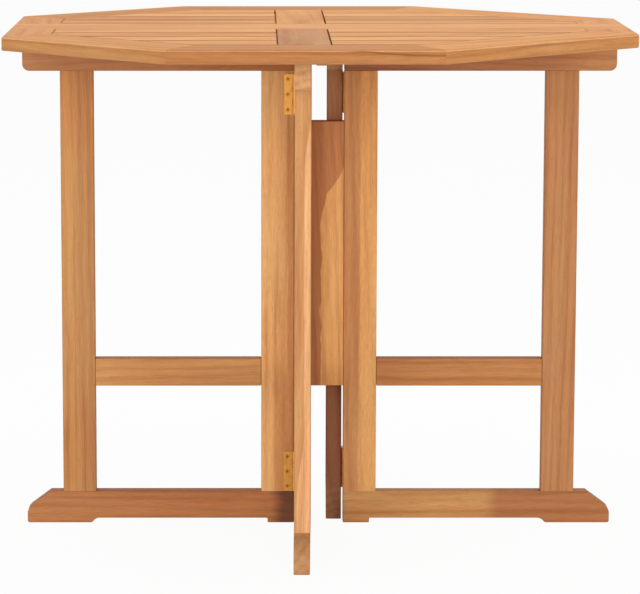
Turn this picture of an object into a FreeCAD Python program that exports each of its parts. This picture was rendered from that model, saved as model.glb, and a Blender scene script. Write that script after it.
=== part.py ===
import FreeCAD, Part
import math
import os

os.makedirs("parts", exist_ok=True)

# Folding garden table with an octagonal slatted top. All sizes are in millimetres.
# X runs along the fixed frame, the front is towards -Y, and the floor is at Z = 0.
# The rear gate and the rear leaf's hinges are the front ones turned half round about Z.

# Table top
top_size = 900.0  # across the flats of the octagon
table_height = 742.0
top_thickness = 20.0
centre_board_width = 101.0
seam_gap = 3.0  # between the centre board and each leaf
edge_board_width = 85.0  # front edge board and diagonal corner boards
end_board_width = 66.0
cross_board_width = 72.0
leaf_offset = -27.0  # the leaves' boards are centred this far along X from the frame
slat_rows = 4
slat_gap = 5.0
slat_end_gap = 2.0
outer_edge_radius = 3.0
inner_edge_radius = 1.5

# Tongues and grooves of the table top and the centre panel
tongue_thickness = 6.0
tongue_length = 10.0
tongue_inset = 18.0  # from both ends of a mitre
tongue_clearance = 0.2

# Boards of the frame and of the gates
board_thickness = 23.0
post_width = 49.0
post_edge_radius = 2.0
inner_post_gap = 73.0
frame_bay = 246.5  # clear width between an inner and an outer post
rail_height = 45.0
rail_overhang = 55.0  # past the outer post
rail_corner_radius = 10.0
rail_tongue_height = 8.0  # into the centre board
stretcher_height = 41.0
stretcher_bottom = 208.0
panel_rail_gap = 74.0  # from the top of the centre panel to the top rails
panel_thickness = 20.0
tenon_thickness = 9.0
tenon_length = 20.0
tenon_shoulder = 6.0
tenon_clearance = 0.1

# Feet
foot_rail_height = 41.0  # above the pads
foot_pad_height = 7.0
foot_overhang = 54.0  # past the outer post
foot_slope_start = 19.0  # past the outer post
foot_tip_height = 22.0  # where the slope would meet the upright tip
foot_tip_radius = 16.0
foot_toe_radius = 3.0
inner_pad_length = 39.5
outer_pad_inset = 7.0  # behind the outer post's inner face
pad_step_run = 6.5
pad_step_radius = 12.0

# Gates
gate_edge_inset = 104.0  # from the leaf's edge to the tip of the gate's rail
gate_post_gap = 2.0  # between the gate's face and the side of the post that carries it
gate_end_gap = 1.0  # between the gate's end and the frame
gate_leaf_gap = 0.3  # between the gate and the leaf that lies on it
gate_lag = 1.1  # degrees that an open gate stands short of square and of its stop
stop_length = 40.0
stop_width = 16.0
stop_height = 12.0
stop_gap = 0.3
stop_edge_inset = 150.0  # from the leaf's edge to the middle of the stop
stop_edge_radius = 3.0

# Hinges
hinge_plate_width = 15.0
hinge_plate_thickness = 2.0
hinge_barrel_radius = 2.5
hinge_pin_radius = 1.2
hinge_pin_clearance = 0.05
hinge_knuckles = 5
hinge_knuckle_clearance = 0.3
hinge_screw_line = 9.5  # from the pin to the row of screws
gate_hinge_length = 60.0
gate_hinge_screws = 3
gate_hinge_screw_pitch = 22.5
gate_hinge_low_gap = 1.0  # above the foot rail
gate_hinge_high_gap = 4.0  # below the top rail
leaf_hinge_length = 50.0
leaf_hinge_screws = 2
leaf_hinge_screw_pitch = 30.0
leaf_hinge_middle = 150.0  # place of the middle hinge along the seam
screw_head_radius = 3.0
screw_head_height = 1.5
screw_shank_radius = 1.5
screw_clearance = 0.1
gate_screw_depth = 12.0  # in the wood
leaf_screw_cover = 1.0  # wood left between a leaf screw and the groove above it

# Places that follow from the sizes
top_half = top_size / 2
top_bottom = table_height - top_thickness
leaf_start = centre_board_width / 2 + seam_gap
cross_half = cross_board_width / 2
edge_inner = top_half - edge_board_width
end_inner = top_half - end_board_width
side_half = top_half * math.tan(math.radians(22.5))
diagonal_inner = edge_inner * math.sqrt(2)  # |x| + |y| along a centred corner board's inner side
board_half = board_thickness / 2
inner_half = inner_post_gap / 2
foot_top = foot_pad_height + foot_rail_height
rail_bottom = top_bottom - rail_height
stretcher_top = stretcher_bottom + stretcher_height
panel_top = rail_bottom - panel_rail_gap
gate_start = board_half + gate_end_gap
gate_bay = top_half - gate_edge_inset - gate_start - 2 * post_width - rail_overhang
gate_face = inner_half - gate_post_gap
gate_axis_x = gate_face + hinge_barrel_radius
gate_axis_y = board_half + hinge_barrel_radius
leaf_axis_y = leaf_start - seam_gap / 2
leaf_axis_z = top_bottom - hinge_barrel_radius
gate_sweep = gate_axis_x + math.hypot(
    top_half - gate_edge_inset - gate_axis_y,
    board_thickness + hinge_barrel_radius,
)
leaf_hinge_end = (gate_sweep + top_half) / 2  # clear of the gate's swing
tongue_low = (top_bottom + table_height - tongue_thickness) / 2
tongue_high = tongue_low + tongue_thickness
leaf_screw_depth = tongue_low - tongue_clearance - leaf_screw_cover - top_bottom

origin = FreeCAD.Vector(0, 0, 0)
along_x = FreeCAD.Vector(1, 0, 0)
along_y = FreeCAD.Vector(0, 1, 0)
along_z = FreeCAD.Vector(0, 0, 1)


# Helpers

def turned(shape, angle, axis=along_z):
    result = shape.copy()
    result.rotate(origin, axis, angle)
    return result


def moved(shape, x=0.0, y=0.0, z=0.0):
    result = shape.copy()
    result.translate(FreeCAD.Vector(x, y, z))
    return result


def block(x_range, y_range, z_range):
    low = FreeCAD.Vector(x_range[0], y_range[0], z_range[0])
    high = FreeCAD.Vector(x_range[1], y_range[1], z_range[1])
    size = high - low
    return Part.makeBox(size.x, size.y, size.z, low)


def rounded_wire(corners):
    # Each corner is a point and the radius of the arc that rounds it, or 0 for a sharp one.
    starts = []
    ends = []
    edges = []
    for index, (point, radius) in enumerate(corners):
        back = (corners[index - 1][0] - point).normalize()
        ahead = (corners[(index + 1) % len(corners)][0] - point).normalize()
        half_angle = back.getAngle(ahead) / 2
        setback = radius / math.tan(half_angle)
        starts.append(point + back * setback)
        ends.append(point + ahead * setback)
        if radius > 0:
            inward = (back + ahead).normalize()
            middle = point + inward * (radius / math.sin(half_angle) - radius)
            edges.append(Part.Arc(starts[-1], middle, ends[-1]).toShape())
    for index, start in enumerate(starts):
        edges.append(Part.LineSegment(ends[index - 1], start).toShape())
    return Part.Wire(Part.__sortEdges__(edges))


def upright_board(corners):
    # A board standing in the XZ plane, with its thickness along Y.
    points = [(FreeCAD.Vector(x, -board_half, z), radius) for x, z, radius in corners]
    return Part.Face(rounded_wire(points)).extrude(along_y * board_thickness)


def flat_prism(points, z_low, z_high):
    ring = [FreeCAD.Vector(x, y, z_low) for x, y in points]
    face = Part.Face(Part.makePolygon(ring + ring[:1]))
    return face.extrude(along_z * (z_high - z_low))


def joined(body, pieces):
    return body.multiFuse(pieces).removeSplitter()


def save(name, pieces):
    shape = pieces[0] if len(pieces) == 1 else Part.makeCompound(pieces)
    shape.exportStep(f"parts/{name}.step")


# Posts, rails and stretcher of one half frame, which starts at X = 0 and runs along +X

def tenon(x_range, z_range, grow=0.0):
    half = tenon_thickness / 2 + grow
    return block(
        (x_range[0] - grow, x_range[1] + grow),
        (-half, half),
        (z_range[0] - grow, z_range[1] + grow),
    )


def foot_rail(outer_post_start):
    outer_face = outer_post_start + post_width
    tip = outer_face + foot_overhang
    pad_start = outer_post_start + outer_pad_inset
    return upright_board([
        (0, 0, 0),
        (inner_pad_length, 0, 0),
        (inner_pad_length, foot_pad_height, 0),
        (pad_start - pad_step_run, foot_pad_height, pad_step_radius),
        (pad_start, 0, 0),
        (tip, 0, foot_toe_radius),
        (tip, foot_tip_height, foot_tip_radius),
        (outer_face + foot_slope_start, foot_top, 0),
        (0, foot_top, 0),
    ])


def top_rail(outer_post_start, rail_top):
    tip = outer_post_start + post_width + rail_overhang
    return upright_board([
        (0, rail_bottom, 0),
        (tip, rail_bottom, rail_corner_radius),
        (tip, rail_top, 0),
        (0, rail_top, 0),
    ])


def post(start):
    body = block((start, start + post_width), (-board_half, board_half), (foot_top, rail_bottom))
    upright = [edge for edge in body.Edges if edge.BoundBox.ZLength > post_width]
    return body.makeFillet(post_edge_radius, upright)


def half_frame(bay, rail_top):
    starts = (0.0, post_width + bay)
    post_tenons = []
    for start in starts:
        width = (start + tenon_shoulder, start + post_width - tenon_shoulder)
        low = (width, (foot_top - tenon_length, foot_top))
        high = (width, (rail_bottom, rail_bottom + tenon_length))
        post_tenons.append((low, high))
    height = (stretcher_bottom + tenon_shoulder, stretcher_top - tenon_shoulder)
    bar_tenons = [
        ((post_width - tenon_length, post_width), height),
        ((starts[1], starts[1] + tenon_length), height),
    ]
    posts = []
    for start, pair, bar_tenon in zip(starts, post_tenons, bar_tenons):
        body = joined(post(start), [tenon(*place) for place in pair])
        posts.append(body.cut(tenon(*bar_tenon, tenon_clearance)))
    foot = foot_rail(starts[1])
    rail = top_rail(starts[1], rail_top)
    for low, high in post_tenons:
        foot = foot.cut(tenon(*low, tenon_clearance))
        rail = rail.cut(tenon(*high, tenon_clearance))
    bar = block((post_width, starts[1]), (-board_half, board_half), (stretcher_bottom, stretcher_top))
    return {
        "inner_post": posts[0],
        "outer_post": posts[1],
        "top_rail": rail,
        "foot_rail": foot,
        "stretcher": joined(bar, [tenon(*place) for place in bar_tenons]),
    }


# Butt hinges: the pin stands on Z, the plate runs along +X and lies on wood at Y = barrel radius

def screw(x, z, depth, grow=0.0):
    start = FreeCAD.Vector(x, hinge_barrel_radius - hinge_plate_thickness, z)
    head = Part.makeCone(
        screw_head_radius + grow, screw_shank_radius + grow, screw_head_height + grow, start, along_y
    )
    length = hinge_plate_thickness + depth + grow
    shank = Part.makeCylinder(screw_shank_radius + grow, length, start, along_y)
    return joined(head, [shank])


def hinge_half(length, screw_count, screw_pitch, screw_depth, first_knuckle):
    plate_y = (hinge_barrel_radius - hinge_plate_thickness, hinge_barrel_radius)
    neck = hinge_barrel_radius + hinge_knuckle_clearance
    strip = block((neck, hinge_plate_width), plate_y, (-length / 2, length / 2))
    knuckle_pitch = length / hinge_knuckles
    knuckles = []
    for index in range(first_knuckle, hinge_knuckles, 2):
        low = index * knuckle_pitch - length / 2 + hinge_knuckle_clearance / 2
        high = low + knuckle_pitch - hinge_knuckle_clearance
        base = FreeCAD.Vector(0, 0, low)
        knuckles.append(Part.makeCylinder(hinge_barrel_radius, high - low, base))
        knuckles.append(block((0, neck), plate_y, (low, high)))
    plate = joined(strip, knuckles)
    bore = Part.makeCylinder(
        hinge_pin_radius + hinge_pin_clearance, length, FreeCAD.Vector(0, 0, -length / 2)
    )
    plate = plate.cut(bore)
    screws = []
    holes = []
    for index in range(screw_count):
        z = (index - (screw_count - 1) / 2) * screw_pitch
        screws.append(screw(hinge_screw_line, z, screw_depth))
        holes.append(screw(hinge_screw_line, z, screw_depth, screw_clearance))
    return {"plates": [plate.cut(holes)], "screws": screws, "holes": holes}


def hinge_pin(length):
    return Part.makeCylinder(hinge_pin_radius, length, FreeCAD.Vector(0, 0, -length / 2))


def add_half(total, half, place):
    for kind, shapes in half.items():
        total[kind] += [place(shape) for shape in shapes]


def new_set():
    return {"plates": [], "screws": [], "holes": []}


def gate_hinges():
    fixed = new_set()
    moving = new_set()
    pins = []
    sizes = (gate_hinge_length, gate_hinge_screws, gate_hinge_screw_pitch, gate_screw_depth)
    heights = (
        foot_top + gate_hinge_low_gap + gate_hinge_length / 2,
        rail_bottom - gate_hinge_high_gap - gate_hinge_length / 2,
    )
    for height in heights:
        spot = (-gate_axis_x, -gate_axis_y, height)
        add_half(fixed, hinge_half(*sizes, 0), lambda s: moved(turned(s, 180, along_y), *spot))
        add_half(moving, hinge_half(*sizes, 1), lambda s: moved(turned(s, -90), *spot))
        pins.append(moved(hinge_pin(gate_hinge_length), *spot))
    return fixed, moving, pins


def leaf_hinges():
    fixed = new_set()
    moving = new_set()
    pins = []
    sizes = (leaf_hinge_length, leaf_hinge_screws, leaf_hinge_screw_pitch, leaf_screw_depth)
    diagonal = along_x + along_y + along_z  # a third of a turn about it takes Z to X, X to Y, Y to Z
    for x in (-leaf_hinge_end, leaf_hinge_middle, leaf_hinge_end):
        spot = (x, -leaf_axis_y, leaf_axis_z)
        add_half(fixed, hinge_half(*sizes, 0), lambda s: moved(turned(s, 120, diagonal), *spot))
        add_half(
            moving,
            hinge_half(*sizes, 1),
            lambda s: moved(turned(turned(s, 120, diagonal), 180), *spot),
        )
        pins.append(moved(turned(hinge_pin(leaf_hinge_length), 120, diagonal), *spot))
    return fixed, moving, pins


# Boards of the table top

def eased(board, offset):
    # Rounds the outer edges of the octagon above and below, and the other long edges above.
    outer = []
    inner = []
    for edge in board.Edges:
        middle = edge.CenterOfMass
        run = edge.tangentAt(edge.FirstParameter)
        level = abs(run.z) < 0.01
        turn = math.degrees(math.atan2(run.y, run.x)) % 45
        square = min(turn, 45 - turn) < 1
        diagonal = (abs(middle.x - offset) + abs(middle.y)) / math.sqrt(2)
        reach = max(abs(middle.x), abs(middle.y), diagonal)
        if level and abs(reach - top_half) < 0.01:
            outer.append(edge)
        elif level and square and abs(middle.z - table_height) < 0.01:
            inner.append(edge)
    if outer:
        board = board.makeFillet(outer_edge_radius, outer)
        tops = [edge.CenterOfMass for edge in inner]
        inner = [
            edge for edge in board.Edges
            if any((edge.CenterOfMass - top).Length < outer_edge_radius for top in tops)
            and abs(edge.CenterOfMass.z - table_height) < 0.01
        ]
    return board.makeFillet(inner_edge_radius, inner)


def slab(points, offset):
    return eased(flat_prism(points, top_bottom, table_height), offset)


def tongue(points, grow=0.0):
    return flat_prism(points, tongue_low - grow, tongue_high + grow)


def mitre_tongue(outer, inner, neighbour, grow=0.0):
    # A tongue across a mitre, towards a point in the neighbouring board.
    start = FreeCAD.Vector(*outer, 0)
    run = (FreeCAD.Vector(*inner, 0) - start).normalize()
    length = math.dist(outer, inner)
    side = run.cross(along_z)
    if side.dot(FreeCAD.Vector(*neighbour, 0) - start) < 0:
        side = side * -1
    near = start + run * (tongue_inset - grow)
    far = start + run * (length - tongue_inset + grow)
    reach = side * (tongue_length + grow)
    return tongue([(p.x, p.y) for p in (near, far, far + reach, near + reach)], grow)


def field(side, offset, grow):
    # The area of the slats on one side of the cross board, grown by a tongue or a groove.
    inset = slat_end_gap - grow
    near = cross_half + side * offset + inset
    far = end_inner - inset
    reach = diagonal_inner + side * offset - inset * math.sqrt(2)
    points = [
        (near, -leaf_start),
        (far, -leaf_start),
        (far, far - reach),
        (reach - edge_inner, -edge_inner),
        (near, -edge_inner),
    ]
    return [(side * x, y) for x, y in points]


def slat(side, offset, row, slat_width):
    start = leaf_start + row * (slat_width + slat_gap)
    strip = block((-top_half, top_half), (-start - slat_width, -start), (top_bottom, table_height))
    body = flat_prism(field(side, offset, 0), top_bottom, table_height).common(strip)
    long_edges = [
        edge for edge in body.Edges
        if edge.BoundBox.YLength < 0.01 and abs(edge.BoundBox.ZMin - table_height) < 0.01
    ]
    body = body.makeFillet(inner_edge_radius, long_edges)
    ends = tongue(field(side, offset, slat_end_gap + tongue_length)).common(strip)
    return joined(body, [ends])


def side_boards(side, offset):
    # One corner board and one end board, with their mitres and the groove for the slats.
    outer_front = (side * side_half + offset, -top_half)
    outer_side = (side * top_half, -side_half - side * offset)
    inner_front = (side * (diagonal_inner - edge_inner) + offset, -edge_inner)
    inner_side = (side * end_inner, end_inner - diagonal_inner - side * offset)
    seam_inner = (side * end_inner, -leaf_start)
    seam_outer = (side * top_half, -leaf_start)
    front_mitre = (outer_front, inner_front, (offset, -top_half))
    side_mitre = (outer_side, inner_side, seam_outer)
    groove_grow = slat_end_gap + tongue_length + tongue_clearance
    groove = tongue(field(side, offset, groove_grow), tongue_clearance)
    corner = slab([outer_front, outer_side, inner_side, inner_front], offset).cut(groove)
    corner = joined(corner, [mitre_tongue(*front_mitre), mitre_tongue(*side_mitre)])
    end = slab([seam_inner, seam_outer, outer_side, inner_side], offset)
    end = end.cut([groove, mitre_tongue(*side_mitre, tongue_clearance)])
    return corner, end, groove, mitre_tongue(*front_mitre, tongue_clearance)


def leaf(left_name, right_name, offset, holes):
    left_corner, left_end, left_groove, left_mortise = side_boards(-1, offset)
    right_corner, right_end, right_groove, right_mortise = side_boards(1, offset)
    inner_front = diagonal_inner - edge_inner
    edge = slab([
        (offset - side_half, -top_half),
        (offset + side_half, -top_half),
        (offset + inner_front, -edge_inner),
        (offset - inner_front, -edge_inner),
    ], offset)
    tenon_half = cross_half - tenon_shoulder
    cross_tenon = [
        (offset - tenon_half, -edge_inner),
        (offset + tenon_half, -edge_inner),
        (offset + tenon_half, -edge_inner - tongue_length),
        (offset - tenon_half, -edge_inner - tongue_length),
    ]
    cross_mortise = block(
        (offset - tenon_half - tongue_clearance, offset + tenon_half + tongue_clearance),
        (-edge_inner - tongue_length - tongue_clearance, -edge_inner),
        (tongue_low - tongue_clearance, tongue_high + tongue_clearance),
    )
    cross = slab([
        (offset - cross_half, -edge_inner),
        (offset + cross_half, -edge_inner),
        (offset + cross_half, -leaf_start),
        (offset - cross_half, -leaf_start),
    ], offset)
    cross = joined(cross.cut([left_groove, right_groove]), [tongue(cross_tenon)])
    pieces = {
        "edge_board": [edge.cut([left_mortise, right_mortise, cross_mortise])],
        f"{left_name}_corner_board": [left_corner],
        f"{right_name}_corner_board": [right_corner],
        f"{left_name}_end_board": [left_end.cut(holes)],
        f"{right_name}_end_board": [right_end.cut(holes)],
        "cross_board": [cross],
        "gate_stop": [gate_stop()],
    }
    slat_width = (edge_inner - leaf_start) / slat_rows - slat_gap
    for row in range(slat_rows):
        pair = [slat(side, offset, row, slat_width) for side in (-1, 1)]
        pieces[f"slats_{row + 1}"] = [board.cut(holes) for board in pair] if row == 0 else pair
    return pieces


def gate_stop():
    # The small block under the cross board that the gate swings up against.
    start = board_thickness - gate_face + stop_gap
    middle = stop_edge_inset - top_half
    body = block(
        (start, start + stop_width),
        (middle - stop_length / 2, middle + stop_length / 2),
        (top_bottom - stop_height, top_bottom),
    )
    low = [edge for edge in body.Edges if edge.BoundBox.ZMax < top_bottom - stop_height / 2]
    return body.makeFillet(stop_edge_radius, low)


# Fixed centre frame

def centre_panel(grow=0.0):
    half = inner_half + tongue_length + grow
    return block(
        (-half, half),
        (-tongue_thickness / 2 - grow, tongue_thickness / 2 + grow),
        (stretcher_bottom - grow, panel_top + grow),
    )


def rail_tongue(grow=0.0):
    # The tongue of the left top rail, which fits a groove under the centre board.
    tip = inner_half + 2 * post_width + frame_bay + rail_overhang
    return block(
        (-tip + tenon_shoulder - grow, -inner_half - tenon_shoulder + grow),
        (-tenon_thickness / 2 - grow, tenon_thickness / 2 + grow),
        (top_bottom, top_bottom + rail_tongue_height + grow),
    )


def fixed_frame(gate_holes):
    half = half_frame(frame_bay, top_bottom)
    left = {name: moved(turned(shape, 180), -inner_half) for name, shape in half.items()}
    left["inner_post"] = left["inner_post"].cut([centre_panel(tongue_clearance)] + gate_holes)
    left["top_rail"] = joined(left["top_rail"], [rail_tongue()])
    for name, shape in left.items():
        save(f"left_{name}", [shape])
        save(f"right_{name}", [turned(shape, 180)])
    panel = block(
        (-inner_half, inner_half),
        (-panel_thickness / 2, panel_thickness / 2),
        (stretcher_bottom, panel_top),
    )
    save("centre_panel", [joined(panel, [centre_panel()])])


def centre_board(leaf_holes):
    board = slab([
        (-top_half, -centre_board_width / 2),
        (top_half, -centre_board_width / 2),
        (top_half, centre_board_width / 2),
        (-top_half, centre_board_width / 2),
    ], 0.0)
    groove = rail_tongue(tenon_clearance)
    return board.cut([groove, turned(groove, 180)] + leaf_holes)


def both(shapes):
    # The pieces at the front and their copies at the rear.
    return shapes + [turned(shape, 180) for shape in shapes]


def swung(shape):
    # A piece of the front gate, turned about the hinge pin to where the open gate stands.
    at_pin = moved(shape, gate_axis_x, gate_axis_y)
    return moved(turned(at_pin, -gate_lag), -gate_axis_x, -gate_axis_y)


gate_fixed, gate_moving, gate_pins = gate_hinges()
leaf_fixed, leaf_moving, leaf_pins = leaf_hinges()

fixed_frame(gate_fixed["holes"])
save("centre_board", [centre_board(both(leaf_fixed["holes"]))])
save("gate_hinge_frame_plates", both(gate_fixed["plates"]))
save("gate_hinge_pins", both(gate_pins))
save("leaf_hinge_centre_plates", both(leaf_fixed["plates"]))
save("leaf_hinge_pins", both(leaf_pins))
save("frame_screws", both(gate_fixed["screws"] + leaf_fixed["screws"]))

gate_boards = half_frame(gate_bay, top_bottom - gate_leaf_gap)
gate = {
    name: [moved(turned(shape, -90), board_half - gate_face, -gate_start)]
    for name, shape in gate_boards.items()
}
gate["inner_post"] = [gate["inner_post"][0].cut(gate_moving["holes"])]
gate["hinge_plates"] = gate_moving["plates"]
gate["screws"] = gate_moving["screws"]

front = ("front", 0, ("left", "right", leaf_offset))
rear = ("rear", 180, ("right", "left", -leaf_offset))
for end, angle, layout in (front, rear):
    for name, shapes in gate.items():
        save(f"{end}_gate_{name}", [turned(swung(shape), angle) for shape in shapes])
    boards = leaf(*layout, leaf_moving["holes"])
    boards["hinge_plates"] = leaf_moving["plates"]
    boards["screws"] = leaf_moving["screws"]
    for name, shapes in boards.items():
        save(f"{end}_leaf_{name}", [turned(shape, angle) for shape in shapes])
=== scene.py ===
import bmesh
import bpy
import math
import random
from mathutils import Matrix, Quaternion, Vector


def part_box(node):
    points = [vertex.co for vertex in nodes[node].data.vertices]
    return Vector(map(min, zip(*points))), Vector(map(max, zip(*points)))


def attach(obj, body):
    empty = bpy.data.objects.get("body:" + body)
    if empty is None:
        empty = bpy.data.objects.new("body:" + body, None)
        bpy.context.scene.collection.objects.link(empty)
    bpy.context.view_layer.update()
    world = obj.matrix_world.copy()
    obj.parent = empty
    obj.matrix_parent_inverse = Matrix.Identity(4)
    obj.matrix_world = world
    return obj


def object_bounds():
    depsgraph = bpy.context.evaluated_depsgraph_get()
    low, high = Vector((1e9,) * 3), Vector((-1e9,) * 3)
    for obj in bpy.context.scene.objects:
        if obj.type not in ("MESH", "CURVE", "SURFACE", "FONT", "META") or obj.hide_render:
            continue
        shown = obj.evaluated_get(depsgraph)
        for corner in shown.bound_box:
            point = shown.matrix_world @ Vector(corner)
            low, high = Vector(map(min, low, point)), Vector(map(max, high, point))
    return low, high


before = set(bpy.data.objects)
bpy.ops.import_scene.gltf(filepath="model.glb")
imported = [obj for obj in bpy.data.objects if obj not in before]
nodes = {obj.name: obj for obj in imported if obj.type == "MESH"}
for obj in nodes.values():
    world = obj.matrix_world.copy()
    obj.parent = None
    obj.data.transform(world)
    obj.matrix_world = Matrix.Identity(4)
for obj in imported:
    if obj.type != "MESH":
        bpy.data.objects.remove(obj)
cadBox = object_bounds()
print("frame loaded:", len(nodes), "nodes")


# small helpers for materials and objects

noiseSpan = (0.3, 0.7)  # nearly all values of a noise lie in here


def newMaterial(name):
    material = bpy.data.materials.new(name)
    material.use_nodes = True
    return material, material.node_tree


def addObject(name, data):
    item = bpy.data.objects.new(name, data)
    bpy.context.scene.collection.objects.link(item)
    return item


def feed(tree, value, socket):
    if isinstance(value, bpy.types.NodeSocket):
        tree.links.new(value, socket)
    else:
        socket.default_value = value


def put(tree, kind, inputs, **settings):
    node = tree.nodes.new("ShaderNode" + kind)
    for key, value in settings.items():
        setattr(node, key, value)
    for key, value in inputs.items():
        feed(tree, value, node.inputs[key])
    return node


def calc(tree, operation, *values):
    return put(tree, "Math", dict(enumerate(values)), operation=operation).outputs[0]


def vectorCalc(tree, operation, first, second):
    return put(tree, "VectorMath", {0: first, 1: second}, operation=operation).outputs[0]


def axesOf(tree, vector):
    return put(tree, "SeparateXYZ", {0: vector}).outputs


def noise(tree, vector, scale, detail=3.0, roughness=0.55, offset=(0.0, 0.0, 0.0), output="Fac"):
    place = put(tree, "Mapping", {"Vector": vector, "Location": offset, "Scale": scale}).outputs[0]
    inputs = {"Vector": place, "Scale": 1.0, "Detail": detail, "Roughness": roughness}
    return put(tree, "TexNoise", inputs).outputs[output]


def ramp(tree, value, low, high, start=0.0, end=1.0):
    inputs = {"Value": value, "From Min": low, "From Max": high, "To Min": start, "To Max": end}
    return put(tree, "MapRange", inputs, interpolation_type="SMOOTHSTEP").outputs[0]


def weighted(tree, patterns, weights, start=0.0):
    total = start
    for name, weight in weights.items():
        total = calc(tree, "MULTIPLY_ADD", patterns[name], weight, total)
    return total


def mixColour(tree, factor, first, second, blend="MIX"):
    inputs = {0: factor, 6: first, 7: second}  # the colour sockets of the Mix node
    return put(tree, "Mix", inputs, data_type="RGBA", blend_type=blend).outputs[2]


def tinted(tree, colour, gains):
    return mixColour(tree, 1.0, colour, (*gains, 1.0), "MULTIPLY")


def colourRamp(tree, value, stops):
    node = put(tree, "ValToRGB", {0: value})
    elements = node.color_ramp.elements
    elements.remove(elements[1])
    for index, (place, colour) in enumerate(stops):
        stop = elements.new(place) if index else elements[0]
        stop.position = place
        stop.color = colour
    return node.outputs[0]


def linear(rgb, gain=1.0):
    # a colour as seen on screen, 0 to 255, to the light values that shaders take
    out = []
    for value in rgb:
        v = value / 255
        v = v / 12.92 if v <= 0.04045 else ((v + 0.055) / 1.055) ** 2.4
        out.append(min(v * gain, 1.0))
    return (*out, 1.0)


def gained(tone, gains):
    base = linear(tone)
    return (*[min(value * gain, 1.0) for value, gain in zip(base, gains)], 1.0)


# oiled teak, cut for each board from its own place in the log

teak = {
    "firstSeed": 100,
    "turns": {"x": (0, 0, 0), "y": (0, 0, -90), "z": (0, 90, 0), "rise": (0, 0, -45), "fall": (0, 0, 45)},
    "pith": ((-4.0, 4.0), (0.05, 0.12), (0.07, 0.15)),  # metres to the log's middle, along and across it
    "lean": 2.4,                      # degrees that a board is cut off the line of the log
    "sway": (1.6, 7.0, 7.0),          # slow bends of the grain, per metre
    "swayReach": 0.012,
    "patterns": {                     # per metre, along the grain and across it
        "clouds": {"scale": (5.0, 26.0, 26.0)},    # patches of redder and more golden wood
        "streaks": {"scale": (1.6, 84.0, 84.0)},   # broad soft bands
        "lines": {"scale": (6.0, 260.0, 260.0), "detail": 4.0, "roughness": 0.62},  # thin growth lines
        "fibres": {"scale": (24.0, 1500.0, 1500.0), "detail": 2.0},
        "pores": {"scale": (70.0, 1100.0, 1100.0), "detail": 1.0},
    },
    "rings": {"Scale": 26.0, "Distortion": 2.2, "Detail": 2.0, "Detail Scale": 1.4, "Detail Roughness": 0.55},
    "ringStretch": (0.25, 1.0, 1.0),
    "ringPower": 0.6,                 # leaves the late wood dark and narrow
    "figure": {"streaks": 0.46, "lines": 0.32, "rings": 0.12},
    "figureLift": 0.03,
    "figureStops": (0.33, 0.50, 0.67),
    "darkGain": (0.80, 0.71, 0.62),   # dark figure against the board's own tone
    "lightGain": (1.14, 1.15, 1.16),
    "cloudStops": (0.34, 0.62),
    "redGain": (0.98, 0.90, 0.84),
    "goldGain": (1.02, 1.06, 1.06),
    "fibreGain": (0.90, 1.09),
    "poreStops": (0.60, 0.74),
    "poreShare": 0.26,
    "poreGain": (0.42, 0.36, 0.30),
    "endFacing": (0.75, 0.95),
    "endGain": (0.74, 0.72, 0.70),    # end grain drinks more oil
    "roughness": (0.50, 0.68),
    "topRoughness": (0.66, 0.84),     # the top is drier from the weather
    "gloss": 0.25,
    "relief": {"fibres": 0.6, "lines": 0.5, "pores": -0.5},
    "bump": 0.22,
    "bumpDepth": 0.0008,
}


def grainOf(tree, spot, turn, look):
    # the spot as a place in the board's log, x along the grain and the rest across it
    draw = random.Random(look["seed"])
    along = put(tree, "Mapping", {"Vector": spot, "Rotation": turn}).outputs[0]
    pith = [draw.uniform(*reach) for reach in teak["pith"]]
    lean = math.radians(teak["lean"])
    cut = (0.0, draw.uniform(-lean, lean), draw.uniform(-lean, lean))
    log = put(tree, "Mapping", {"Vector": along, "Location": pith, "Rotation": cut}).outputs[0]
    sway = noise(tree, log, teak["sway"], detail=2.0, output="Color")
    sway = vectorCalc(tree, "SUBTRACT", sway, (0.5, 0.5, 0.5))
    swing = teak["swayReach"] * look.get("wild", 1.0)
    sway = vectorCalc(tree, "MULTIPLY", sway, (0.0, swing, swing))
    return vectorCalc(tree, "ADD", log, sway)


def patternsOf(tree, grain):
    patterns = {name: noise(tree, grain, **pattern) for name, pattern in teak["patterns"].items()}
    patterns["pores"] = ramp(tree, patterns["pores"], *teak["poreStops"])
    drawn = put(tree, "Mapping", {"Vector": grain, "Scale": teak["ringStretch"]}).outputs[0]
    rings = put(tree, "TexWave", {"Vector": drawn, **teak["rings"]}, wave_type="RINGS", rings_direction="X")
    patterns["rings"] = calc(tree, "POWER", rings.outputs["Fac"], teak["ringPower"])
    return patterns


def woodColour(tree, patterns, tone):
    figure = weighted(tree, patterns, teak["figure"], teak["figureLift"])
    shades = gained(tone, teak["darkGain"]), linear(tone), gained(tone, teak["lightGain"])
    shade = colourRamp(tree, figure, zip(teak["figureStops"], shades))
    hues = (*teak["redGain"], 1.0), (*teak["goldGain"], 1.0)
    hue = colourRamp(tree, patterns["clouds"], zip(teak["cloudStops"], hues))
    return mixColour(tree, 1.0, shade, hue, "MULTIPLY")


bandShare = 0.9


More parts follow.
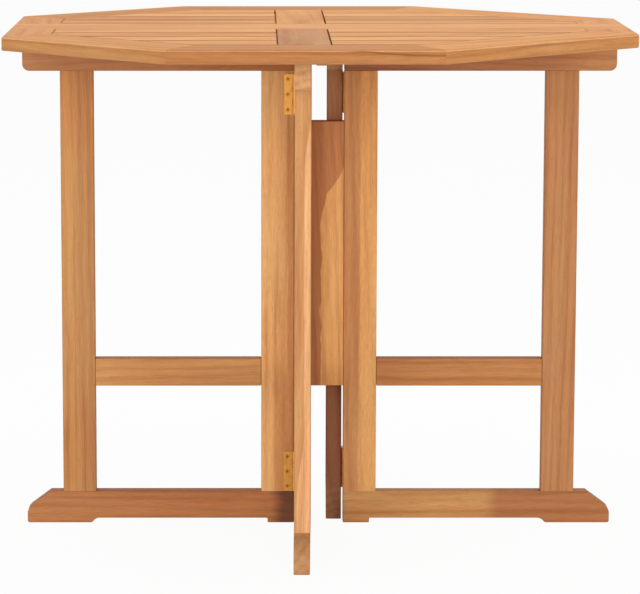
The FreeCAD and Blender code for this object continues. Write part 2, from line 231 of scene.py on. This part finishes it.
def addBand(tree, colour, spot, band, look):
    # a strip of other heartwood, with edges that wander along the board; on some boards the strip is painted
    # shadow or painted light
    axes = axesOf(tree, spot)
    sway = noise(tree, spot, band["wander"], detail=2.0, offset=[look["seed"]] * 3)
    shift = calc(tree, "MULTIPLY", calc(tree, "SUBTRACT", sway, 0.5), band["reach"])
    place = calc(tree, "ADD", axes[band["across"]], shift)
    for axis, start, end, lean in band.get("bends", ()):  # the strip leans over between two places
        place = calc(tree, "SUBTRACT", place, ramp(tree, axes[axis], start, end, 0.0, lean))
    low, high = band["between"]
    blur = band["blur"]
    rise = ramp(tree, place, low - blur, low + blur)
    fall = ramp(tree, place, high - blur, high + blur, 1.0, 0.0)
    mask = calc(tree, "MULTIPLY", calc(tree, "MULTIPLY", rise, fall), bandShare)
    for axis, start, end in band.get("fades", ()):  # the strip comes in along the board
        mask = calc(tree, "MULTIPLY", mask, ramp(tree, axes[axis], start, end))
    pairs = zip(linear(band["tone"]), linear(look["tone"]))
    tint = [over / under for over, under in pairs][:3]
    return mixColour(tree, mask, colour, tinted(tree, colour, tint))


# painted shade towards the slats' long edges
slatGapShade = {"reach": (0.0015, 0.0065), "gain": (0.67, 0.59, 0.51)}


def addGapShade(tree, colour, spot, edges):
    # painted shade along a slat's long edges, darker towards the gaps between the slats
    across = axesOf(tree, spot)["Y"]
    low, high = edges
    near = calc(tree, "SUBTRACT", across, low)
    near = calc(tree, "MINIMUM", near, calc(tree, "SUBTRACT", high, across))
    mask = ramp(tree, near, *slatGapShade["reach"], 1.0, 0.0)
    return mixColour(tree, mask, colour, tinted(tree, colour, slatGapShade["gain"]))


# a painted highlight along the arris of the top's edge boards, and a darker band under it
brim = {
    "upright": (0.3, 0.7),            # rise of the face's normal, up to where it counts as upright
    "highlightReach": (0.0018, 0.0034),  # depth below the table's upper face
    "highlightGain": (1.27, 1.58, 2.05),
    "underReach": (0.0050, 0.0090),
    "underGain": (0.86, 0.82, 0.78),
    "underRest": 0.45,                # share of the darkening that goes on below its reach
}


def addArrisHighlight(tree, colour, spot, normal, top):
    # on the upright faces round the top: a painted highlight along the arris, and darker just under it
    depth = calc(tree, "SUBTRACT", top, axesOf(tree, spot)["Z"])
    rise = calc(tree, "ABSOLUTE", axesOf(tree, normal)["Z"])
    upright = ramp(tree, rise, *brim["upright"], 1.0, 0.0)
    highlight = calc(tree, "MULTIPLY", ramp(tree, depth, *brim["highlightReach"], 1.0, 0.0), upright)
    darker = ramp(tree, depth, *brim["underReach"], 1.0, brim["underRest"])
    darker = calc(tree, "MULTIPLY", darker, upright)
    darkened = mixColour(tree, darker, colour, tinted(tree, colour, brim["underGain"]))
    return mixColour(tree, highlight, darkened, tinted(tree, colour, brim["highlightGain"]))


def addPores(tree, colour, patterns, tone):
    fine = ramp(tree, patterns["fibres"], *noiseSpan, *teak["fibreGain"])
    colour = mixColour(tree, 1.0, colour, fine, "MULTIPLY")
    dashes = calc(tree, "MULTIPLY", patterns["pores"], teak["poreShare"])
    return mixColour(tree, dashes, colour, gained(tone, teak["poreGain"]))


def addEndGrain(tree, colour, normal, turn, gain):
    facing = put(tree, "Mapping", {"Vector": normal, "Rotation": turn}, vector_type="VECTOR").outputs[0]
    facing = calc(tree, "ABSOLUTE", axesOf(tree, facing)["X"])
    mask = ramp(tree, facing, *teak["endFacing"])
    return mixColour(tree, mask, colour, tinted(tree, colour, gain))


def teakMaterial(name, look):
    material, tree = newMaterial(name)
    shader = tree.nodes["Principled BSDF"]
    coords = put(tree, "TexCoord", {}).outputs
    spot, normal = coords["Object"], coords["Normal"]
    turn = [math.radians(angle) for angle in teak["turns"][look["run"]]]
    patterns = patternsOf(tree, grainOf(tree, spot, turn, look))

    colour = woodColour(tree, patterns, look["tone"])
    for band in look.get("bands", ()):
        colour = addBand(tree, colour, spot, band, look)
    if "edges" in look:
        colour = addGapShade(tree, colour, spot, look["edges"])
    if "brim" in look:
        colour = addArrisHighlight(tree, colour, spot, normal, look["brim"])
    colour = addPores(tree, colour, patterns, look["tone"])
    colour = addEndGrain(tree, colour, normal, turn, look.get("endGain", teak["endGain"]))
    feed(tree, colour, shader.inputs["Base Color"])

    polish = teak["topRoughness" if look["isTop"] else "roughness"]
    feed(tree, ramp(tree, patterns["lines"], *noiseSpan, *polish), shader.inputs["Roughness"])
    shader.inputs["Specular IOR Level"].default_value = teak["gloss"]
    height = weighted(tree, patterns, teak["relief"])
    bump = {"Height": height, "Strength": teak["bump"], "Distance": teak["bumpDepth"]}
    feed(tree, put(tree, "Bump", bump).outputs[0], shader.inputs["Normal"])
    return material


# boards: the tone as seen on screen, the way the grain runs, and strips of other heartwood; on the top rails,
# the left foot rail and the rear gate's inner post, strips of painted shadow and painted light

frameBoards = {
    "left_outer_post": {
        "tone": (193, 136, 81), "run": "z",
        "bands": [{
            "tone": (180, 125, 75), "across": "X", "between": (-0.357, -0.2),
            "blur": 0.006, "wander": (0.0, 0.0, 5.0), "reach": 0.012,
        }],
    },
    "right_outer_post": {"tone": (180, 123, 76), "run": "z"},
    "left_inner_post": {
        "tone": (221, 166, 106), "run": "z",
        "bands": [{
            "tone": (197, 138, 82), "across": "X", "between": (-0.0465, 0.0),
            "blur": 0.0014, "wander": (0.0, 0.0, 9.0), "reach": 0.006,
            "fades": [("Z", 0.66, 0.59), ("Z", 0.20, 0.27)],
        }, {
            "tone": (198, 138, 83), "across": "X", "between": (-0.064, 0.0),
            "blur": 0.004, "wander": (0.0, 0.0, 12.0), "reach": 0.006,
            "fades": [("Z", 0.27, 0.20)],
        }],
    },
    "right_inner_post": {
        "tone": (223, 164, 99), "run": "z",
        "bands": [{
            "tone": (193, 133, 82), "across": "X", "between": (0.0, 0.060),
            "blur": 0.0025, "wander": (0.0, 0.0, 4.0), "reach": 0.008,
        }],
    },
    "left_top_rail": {
        "tone": (182, 123, 80), "run": "x",
        # painted shadow of the tabletop: darker towards the middle of the rail
        "bands": [{
            "tone": (174, 108, 61), "across": "X", "between": (-0.19, 0.1),
            "blur": 0.05, "wander": (3.0, 0.0, 20.0), "reach": 0.05,
        }],
    },
    "right_top_rail": {
        "tone": (176, 118, 77), "run": "x",
        "bands": [{
            # painted shadow of the tabletop: darker towards the middle of the rail
            "tone": (154, 96, 64), "across": "X", "between": (-0.1, 0.20),
            "blur": 0.06, "wander": (3.0, 0.0, 20.0), "reach": 0.05,
        }, {
            # painted light: lighter towards the outer end, where the tabletop shades the rail less
            "tone": (189, 131, 82), "across": "X", "between": (0.36, 0.6),
            "blur": 0.04, "wander": (3.0, 0.0, 30.0), "reach": 0.06,
        }],
    },
    "left_foot_rail": {
        "tone": (179, 116, 69), "run": "x",
        "bands": [{
            # partly darker wood and partly painted shadow of the front gate: dark towards the rail's inner
            # end
            "tone": (100, 59, 39), "across": "X", "between": (-0.062, 0.2),
            "blur": 0.012, "wander": (4.0, 0.0, 30.0), "reach": 0.05,
        }],
    },
    "right_foot_rail": {
        "tone": (194, 139, 84), "run": "x",
        "bands": [{
            "tone": (166, 104, 62), "across": "X", "between": (0.262, 0.6),
            "blur": 0.014, "wander": (2.0, 0.0, 40.0), "reach": 0.05,
        }],
    },
    "left_stretcher": {"tone": (195, 139, 84), "run": "x"},
    "right_stretcher": {"tone": (182, 120, 69), "run": "x"},
    "centre_panel": {
        "tone": (219, 161, 97), "run": "z", "wild": 1.8,
        "bands": [{
            "tone": (178, 114, 69), "across": "X", "between": (-0.2, 0.003),
            "blur": 0.0012, "wander": (30.0, 0.0, 26.0), "reach": 0.012,
            "bends": [("Z", 0.46, 0.53, 0.020), ("Z", 0.49, 0.56, 0.018)],
        }],
    },
    "centre_board": {"tone": (209, 152, 101), "run": "x"},
}
gateBoards = {
    "inner_post": {"tone": (200, 140, 88), "run": "z"},
    "outer_post": {"tone": (200, 143, 90), "run": "z"},
    "top_rail": {"tone": (210, 158, 109), "run": "y", "endGain": (1.02, 1.04, 1.05)},
    "foot_rail": {"tone": (196, 143, 95), "run": "y", "endGain": (0.88, 0.88, 0.88)},
    "stretcher": {"tone": (192, 132, 82), "run": "y"},
}
leafBoards = {
    "edge_board": {"tone": (187, 127, 76), "run": "x"},
    "left_corner_board": {"tone": (200, 141, 86), "run": "fall"},
    "right_corner_board": {"tone": (209, 148, 91), "run": "rise"},
    "left_end_board": {"tone": (200, 142, 94), "run": "y"},
    "right_end_board": {"tone": (204, 144, 94), "run": "y"},
    "cross_board": {"tone": (184, 132, 91), "run": "y"},
    "slats_1": {"tone": (211, 153, 100), "run": "x"},
    "slats_2": {"tone": (205, 147, 94), "run": "x"},
    "slats_3": {"tone": (216, 158, 105), "run": "x"},
    "slats_4": {"tone": (208, 152, 98), "run": "x"},
    "gate_stop": {"tone": (186, 126, 80), "run": "y"},
}
rearLogs = {"seed": 11, "gain": (0.93, 1.03), "run": {"rise": "fall", "fall": "rise"}}
marksAndShade = {  # what single boards have of their own, and painted shade on the rear gate's inner post
    "front_gate_outer_post": {
        "bands": [{
            "tone": (232, 173, 121), "across": "X", "between": (-0.0258, 0.1),
            "blur": 0.0010, "wander": (0.0, 0.0, 12.0), "reach": 0.003,
            "bends": [("Z", 0.56, 0.65, 0.010), ("Z", 0.19, 0.10, -0.010)],
        }],
    },
    "front_leaf_edge_board": {  # a dark check below the arris
        "bands": [{
            "tone": (151, 93, 43), "across": "Z", "between": (0.7385, 0.7407),
            "blur": 0.0008, "wander": (14.0, 0.0, 0.0), "reach": 0.003,
            "bends": [("X", 0.03, 0.14, -0.0055)], "fades": [("X", 0.02, 0.05)],
        }],
    },
    "rear_gate_inner_post": {
        # painted shade for its place behind the frame: a darker tone, and darker still towards the bottom
        "tone": (182, 126, 84),
        "bands": [{
            "tone": (148, 97, 69), "across": "Z", "between": (-0.1, 0.33),
            "blur": 0.06, "wander": (60.0, 60.0, 0.0), "reach": 0.1,
        }],
    },
    "rear_gate_foot_rail": {"endGain": (0.68, 0.59, 0.68)},
    "rear_leaf_cross_board": {"tone": (202, 146, 92)},
}


def boardLooks():
    looks = {name: dict(look) for name, look in frameBoards.items()}
    shade = random.Random(rearLogs["seed"])
    for end in ("front", "rear"):
        for kind, boards in (("gate", gateBoards), ("leaf", leafBoards)):
            for part, look in boards.items():
                look = dict(look)
                if end == "rear":  # the rear boards come from other logs
                    gain = shade.uniform(*rearLogs["gain"])
                    look["tone"] = tuple(round(value * gain) for value in look["tone"])
                    look["run"] = rearLogs["run"].get(look["run"], look["run"])
                looks[f"{end}_{kind}_{part}"] = look
    for name, marks in marksAndShade.items():
        looks[name].update(marks)
    for index, name in enumerate(sorted(looks)):
        look = looks[name]
        look["seed"] = teak["firstSeed"] + index
        look["isTop"] = "_leaf_" in name or name == "centre_board"
        if "_slats_" in name:
            low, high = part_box(name)
            look["edges"] = (low[1], high[1])
        # the top's edge boards get the painted arris highlight
        if name.endswith(("edge_board", "corner_board", "end_board")):
            look["brim"] = cadBox[1][2]
    return looks


edgeEase = {
    "boards": ("_rail", "_stretcher", "_panel", "_stop"),  # other boards have rounds in their solids
    "width": 0.0016,
    "segments": 3,
    "seam": 0.000001,       # the loaded meshes are split along their sharp edges
    "flatWithin": 1.0,      # degrees between the triangles of one flat face
    "sharpFrom": 40.0,
}


def easeEdges(piece):
    weld = piece.modifiers.new("closedSeams", "WELD")
    weld.merge_threshold = edgeEase["seam"]
    flat = piece.modifiers.new("flatFaces", "DECIMATE")  # joins the triangles of each flat face
    flat.decimate_type = "DISSOLVE"
    flat.angle_limit = math.radians(edgeEase["flatWithin"])
    ease = piece.modifiers.new("easedEdges", "BEVEL")
    ease.width = edgeEase["width"]
    ease.segments = edgeEase["segments"]
    ease.limit_method = "ANGLE"
    ease.angle_limit = math.radians(edgeEase["sharpFrom"])
    piece.modifiers.new("evenShading", "WEIGHTED_NORMAL")


def dress(node, material):
    piece = nodes[node]
    piece.data.materials.clear()
    piece.data.materials.append(material)


for node, look in boardLooks().items():
    dress(node, teakMaterial("teak_" + node, look))
    if node.endswith(edgeEase["boards"]):
        easeEdges(nodes[node])
print("boards dressed")


# brass hinges and screws

brass = {
    "tone": (198, 141, 68),
    "worn": (166, 111, 50),
    "screwTone": (176, 120, 54),
    "clouds": (220, 220, 90),     # patches of wear, per metre
    "wornStops": (0.50, 0.80),
    "brush": (3000, 3000, 120),   # fine upright brush marks
    "roughness": (0.24, 0.42),
    "bump": 0.06,
    "bumpDepth": 0.0002,
}


def brassMaterial(name, tone):
    material, tree = newMaterial(name)
    shader = tree.nodes["Principled BSDF"]
    spot = put(tree, "TexCoord", {}).outputs["Object"]
    cloud = noise(tree, spot, brass["clouds"], detail=4.0)
    brush = noise(tree, spot, brass["brush"], detail=2.0)
    worn = ramp(tree, cloud, *brass["wornStops"])
    colour = mixColour(tree, worn, linear(tone), linear(brass["worn"]))
    feed(tree, colour, shader.inputs["Base Color"])
    feed(tree, ramp(tree, brush, *noiseSpan, *brass["roughness"]), shader.inputs["Roughness"])
    shader.inputs["Metallic"].default_value = 1.0
    bump = {"Height": brush, "Strength": brass["bump"], "Distance": brass["bumpDepth"]}
    feed(tree, put(tree, "Bump", bump).outputs[0], shader.inputs["Normal"])
    return material


# painted shade: thin dark bars on each screw head stand for the shade inside its cross recess
screwCross = {
    "length": 0.0030,
    "width": 0.0008,
    "proud": 0.00006,
    "depth": 0.0004,
    "screwReach": 0.0155,         # more than one screw measures, less than the gap to the next
    "rimDepth": 0.0002,
    "tone": (58, 38, 22),
    "shadeMottle": (1800, 1800, 1800),
    "shadeMottleGain": (0.6, 1.5),
    "roughness": (0.6, 0.85),
}


def screwHeads(node):
    # the middle of each screw head and the way it faces, from the screws' own mesh
    screws = []
    for vert in nodes[node].data.vertices:
        near = (points for points in screws if (points[0] - vert.co).length < screwCross["screwReach"])
        home = next(near, None)
        if home is None:
            screws.append([vert.co])
        else:
            home.append(vert.co)
    heads = []
    for points in screws:
        spans = [max(p[i] for p in points) - min(p[i] for p in points) for i in range(3)]
        axis = spans.index(max(spans))
        ends = []
        for way in (-1, 1):
            tip = max(way * p[axis] for p in points)
            rim = [p for p in points if tip - way * p[axis] < screwCross["rimDepth"]]
            middle = sum(rim, Vector()) / len(rim)
            facing = Vector((0, 0, 0))
            facing[axis] = way
            ends.append((max((p - middle).length for p in rim), middle, facing))
        heads.append(max(ends, key=lambda end: end[0])[1:])  # the wider end is the head
    return heads


# painted shade, mottled, for the bars of the cross recesses
def crossShadeMaterial():
    material, tree = newMaterial("screw_recess")
    shader = tree.nodes["Principled BSDF"]
    spot = put(tree, "TexCoord", {}).outputs["Object"]
    shadeMottle = noise(tree, spot, screwCross["shadeMottle"])
    dark, light = [linear(screwCross["tone"], gain) for gain in screwCross["shadeMottleGain"]]
    feed(tree, mixColour(tree, shadeMottle, dark, light), shader.inputs["Base Color"])
    feed(tree, ramp(tree, shadeMottle, *noiseSpan, *screwCross["roughness"]), shader.inputs["Roughness"])
    return material


# thin bars, sunk into each head and a hair proud of it, carrying the painted shade of a cross recess
def makeCrosses(node, body, material):
    draw = random.Random(len(node))
    shape = bmesh.new()
    half = screwCross["length"] / 2, screwCross["width"] / 2
    for middle, facing in screwHeads(node):
        turn = facing.to_track_quat("Z", "X") @ Quaternion((0, 0, 1), draw.uniform(0, math.pi))
        top = Matrix.Translation(middle) @ turn.to_matrix().to_4x4()
        for long, wide in (half, half[::-1]):  # two bars, one across the other
            corners = [(-long, -wide), (long, -wide), (long, wide), (-long, wide)]
            rims = []
            for height in (screwCross["proud"], -screwCross["depth"]):
                rims.append([shape.verts.new(top @ Vector((x, y, height))) for x, y in corners])
            shape.faces.new(rims[0])
            shape.faces.new(rims[1][::-1])
            for i in range(4):
                j = (i + 1) % 4
                shape.faces.new((rims[0][j], rims[0][i], rims[1][i], rims[1][j]))
    mesh = bpy.data.meshes.new(node + "_recess")
    shape.to_mesh(mesh)
    shape.free()
    mesh.materials.append(material)
    piece = addObject(node + "_recess", mesh)
    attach(piece, body)


hingeBrass = brassMaterial("hinge_brass", brass["tone"])
screwBrass = brassMaterial("screw_brass", brass["screwTone"])
recessShade = crossShadeMaterial()
for node in list(nodes):
    if node.endswith("screws"):
        dress(node, screwBrass)
        makeCrosses(node, node.removesuffix("_screws"), recessShade)  # a body's screws bear its name
    elif "hinge_" in node:
        dress(node, hingeBrass)
print("hinges dressed")


# floor, world and lamps

stage = {
    "floorSize": 60.0,
    "floorDrop": 0.0004,
    "floorColour": (0.86, 0.86, 0.86, 1.0),
    "whiteShare": 0.95,     # how much of the floor is plain white to the eye, over its shading
    "skyLight": 0.46,
    "white": (1.0, 1.0, 1.0, 1.0),
}


def seenShare(tree, share):
    path = put(tree, "LightPath", {}).outputs
    seen = calc(tree, "MAXIMUM", path["Is Camera Ray"], path["Is Glossy Ray"])
    seen = calc(tree, "MAXIMUM", seen, path["Is Transmission Ray"])
    return calc(tree, "MULTIPLY", seen, share)


def makeFloor():
    half = stage["floorSize"] / 2
    drop = -stage["floorDrop"]
    corners = [(-half, -half, drop), (half, -half, drop), (half, half, drop), (-half, half, drop)]
    mesh = bpy.data.meshes.new("floor")
    mesh.from_pydata(corners, [], [(0, 1, 2, 3)])
    floor = addObject("floor", mesh)
    material, tree = newMaterial("pale_floor")
    tree.nodes.remove(tree.nodes["Principled BSDF"])
    paint = put(tree, "BsdfDiffuse", {"Color": stage["floorColour"]}).outputs[0]
    glow = put(tree, "Emission", {"Color": stage["white"], "Strength": 1.0}).outputs[0]
    above = put(tree, "MixShader", {0: seenShare(tree, stage["whiteShare"]), 1: paint, 2: glow}).outputs[0]
    below = put(tree, "NewGeometry", {}).outputs["Backfacing"]  # clear from below, to show the underside
    clear = put(tree, "BsdfTransparent", {}).outputs[0]
    both = put(tree, "MixShader", {0: below, 1: above, 2: clear}).outputs[0]
    tree.links.new(both, tree.nodes["Material Output"].inputs["Surface"])
    mesh.materials.append(material)


def makeWorld():
    world = bpy.data.worlds.new("studio")
    world.use_nodes = True
    tree = world.node_tree
    sky = tree.nodes["Background"]
    sky.inputs["Color"].default_value = stage["white"]
    sky.inputs["Strength"].default_value = stage["skyLight"]
    plain = put(tree, "Background", {"Color": stage["white"], "Strength": 1.0}).outputs[0]
    mix = put(tree, "MixShader", {0: seenShare(tree, 1.0), 1: sky.outputs[0], 2: plain}).outputs[0]
    tree.links.new(mix, tree.nodes["World Output"].inputs["Surface"])
    bpy.context.scene.world = world


lamps = {
    "key": {"at": (-2.2, -6.8, 1.7), "aim": (0, 0, 0.45), "size": 3.6, "power": 225},
    "fill": {"at": (3.6, -6.0, 1.2), "aim": (0, 0, 0.4), "size": 3.0, "power": 120},
    "top": {"at": (0.2, 0.4, 3.2), "aim": (0, 0, 0.7), "size": 2.6, "power": 50},
}


def makeLamps():
    for name, lamp in lamps.items():
        light = bpy.data.lights.new(name, "AREA")
        light.energy = lamp["power"]
        light.size = lamp["size"]
        holder = addObject(name, light)
        holder.location = lamp["at"]
        aim = Vector(lamp["aim"]) - Vector(lamp["at"])
        holder.rotation_euler = aim.to_track_quat("-Z", "Y").to_euler()


makeFloor()
makeWorld()
makeLamps()
print("stage and lamps ready")


# camera at the photo's viewing angle

view = {
    "at": (-0.0912, -4.7715, 1.0786),
    "tilt": 8.80,           # degrees below level
    "lens": 182.9,
    "sensor": 36.0,
    "shift": 0.0978,        # the table stands right of the line of sight
}


def makeCamera():
    data = bpy.data.cameras.new("camera")
    data.sensor_fit = "HORIZONTAL"
    data.sensor_width = view["sensor"]
    data.lens = view["lens"]
    data.shift_x = view["shift"]
    camera = addObject("camera", data)
    camera.location = view["at"]
    camera.rotation_euler = (math.radians(90 - view["tilt"]), 0, 0)
    bpy.context.scene.camera = camera


makeCamera()
bpy.context.scene.view_settings.view_transform = "Standard"
print("camera set")
